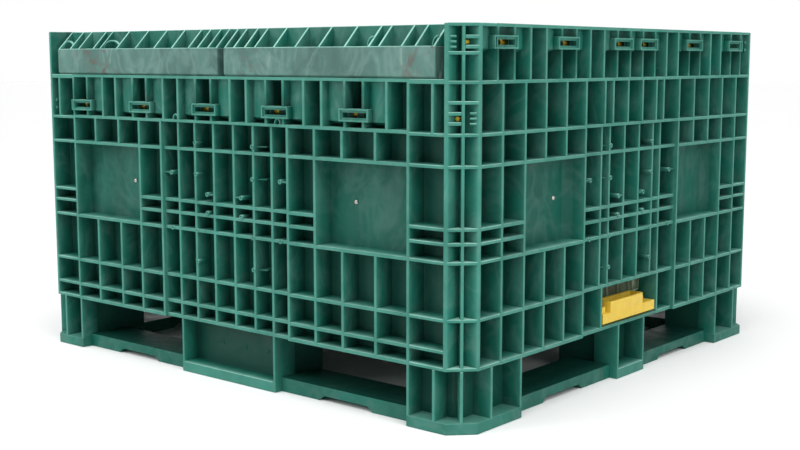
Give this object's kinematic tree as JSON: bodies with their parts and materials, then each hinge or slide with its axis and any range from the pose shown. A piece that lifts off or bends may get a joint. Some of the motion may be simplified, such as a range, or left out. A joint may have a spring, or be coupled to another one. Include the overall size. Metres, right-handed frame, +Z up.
{
  "type": "collapsible bulk storage crate",
  "caption": "Collapsible ribbed plastic bulk crate on a pallet base, shown folded flat, with fold-down walls, a hopper floor and a slide gate pulled by a side handle.",
  "frame": {"origin": "middle of the footprint, on the floor", "axes": "+Z up; +X out of the side with the gate handle; -Y out of the side with the low front sill"},
  "size_m": [1.219, 1.143, 0.715],
  "materials": {
    "crate_green": "structural foam plastic with swirl marks, pale worn rib edges",
    "pallet_green": "the same plastic, scuffed and dusty near the floor",
    "hopper_green": "smooth dark green plastic",
    "handle_yellow": "satin yellow plastic, lightly soiled",
    "pin_yellow": "smooth yellow plastic rod",
    "screw_steel": "zinc-plated screw"
  },
  "bodies": {
    "base": {"tub_wall_front": "crate_green", "tub_wall_back": "crate_green", "tub_wall_right": "crate_green", "tub_wall_left": "crate_green", "corner_post_front_right": "crate_green", "corner_post_front_left": "crate_green", "corner_post_back_right": "crate_green", "corner_post_back_left": "crate_green", "pallet_deck": "pallet_green", "centre_leg_front": "pallet_green", "centre_leg_back": "pallet_green", "centre_leg_right": "pallet_green", "centre_leg_left": "pallet_green", "skid_front_1": "pallet_green", "skid_front_2": "pallet_green", "skid_right_1": "pallet_green", "skid_right_2": "pallet_green", "skid_back_1": "pallet_green", "skid_back_2": "pallet_green", "skid_left_1": "pallet_green", "skid_left_2": "pallet_green", "hopper_floor": "hopper_green", "gate_guide_near": "hopper_green", "gate_guide_far": "hopper_green", "hinge_pin_front_1": "pin_yellow", "hinge_pin_front_2": "pin_yellow", "hinge_pin_front_3": "pin_yellow", "hinge_pin_front_4": "pin_yellow", "hinge_pin_front_5": "pin_yellow", "hinge_pin_back_1": "pin_yellow", "hinge_pin_back_2": "pin_yellow", "hinge_pin_back_3": "pin_yellow", "hinge_pin_back_4": "pin_yellow", "hinge_pin_back_5": "pin_yellow", "hinge_pin_right_1": "pin_yellow", "hinge_pin_right_2": "pin_yellow", "hinge_pin_right_3": "pin_yellow", "hinge_pin_right_4": "pin_yellow", "hinge_pin_right_5": "pin_yellow", "hinge_pin_right_6": "pin_yellow", "hinge_pin_left_1": "pin_yellow", "hinge_pin_left_2": "pin_yellow", "hinge_pin_left_3": "pin_yellow", "hinge_pin_left_4": "pin_yellow", "hinge_pin_left_5": "pin_yellow", "hinge_pin_left_6": "pin_yellow"},
    "front_wall": {"side_wall_front": "crate_green"},
    "back_wall": {"side_wall_back": "crate_green"},
    "right_wall": {"end_wall_right": "crate_green"},
    "left_wall": {"end_wall_left": "crate_green"},
    "gate": {"slide_gate": "hopper_green", "gate_handle": "handle_yellow", "grip_wall_outer": "handle_yellow", "grip_wall_inner": "handle_yellow", "grip_end_near": "handle_yellow", "grip_end_far": "handle_yellow", "handle_screw_1": "screw_steel", "handle_screw_2": "screw_steel"}
  },
  "joints": [
    {"name": "front_wall_fold", "type": "hinge", "parent": "base", "child": "front_wall", "pos_m": [0, -0.538, 0.553], "axis": [1, 0, 0], "range_deg": [0, 5.5]},
    {"name": "back_wall_fold", "type": "hinge", "parent": "base", "child": "back_wall", "pos_m": [0, 0.538, 0.464], "axis": [-1, 0, 0], "range_deg": [0, 2.6]},
    {"name": "right_wall_fold", "type": "hinge", "parent": "base", "child": "right_wall", "pos_m": [0.578, 0, 0.683], "axis": [0, 1, 0], "range_deg": [0, 90]},
    {"name": "left_wall_fold", "type": "hinge", "parent": "base", "child": "left_wall", "pos_m": [-0.578, 0, 0.683], "axis": [0, -1, 0], "range_deg": [0, 90]},
    {"name": "gate_pull", "type": "slide", "parent": "base", "child": "gate", "axis": [1, 0, 0], "range_m": [0, 0.3]}
  ]
}
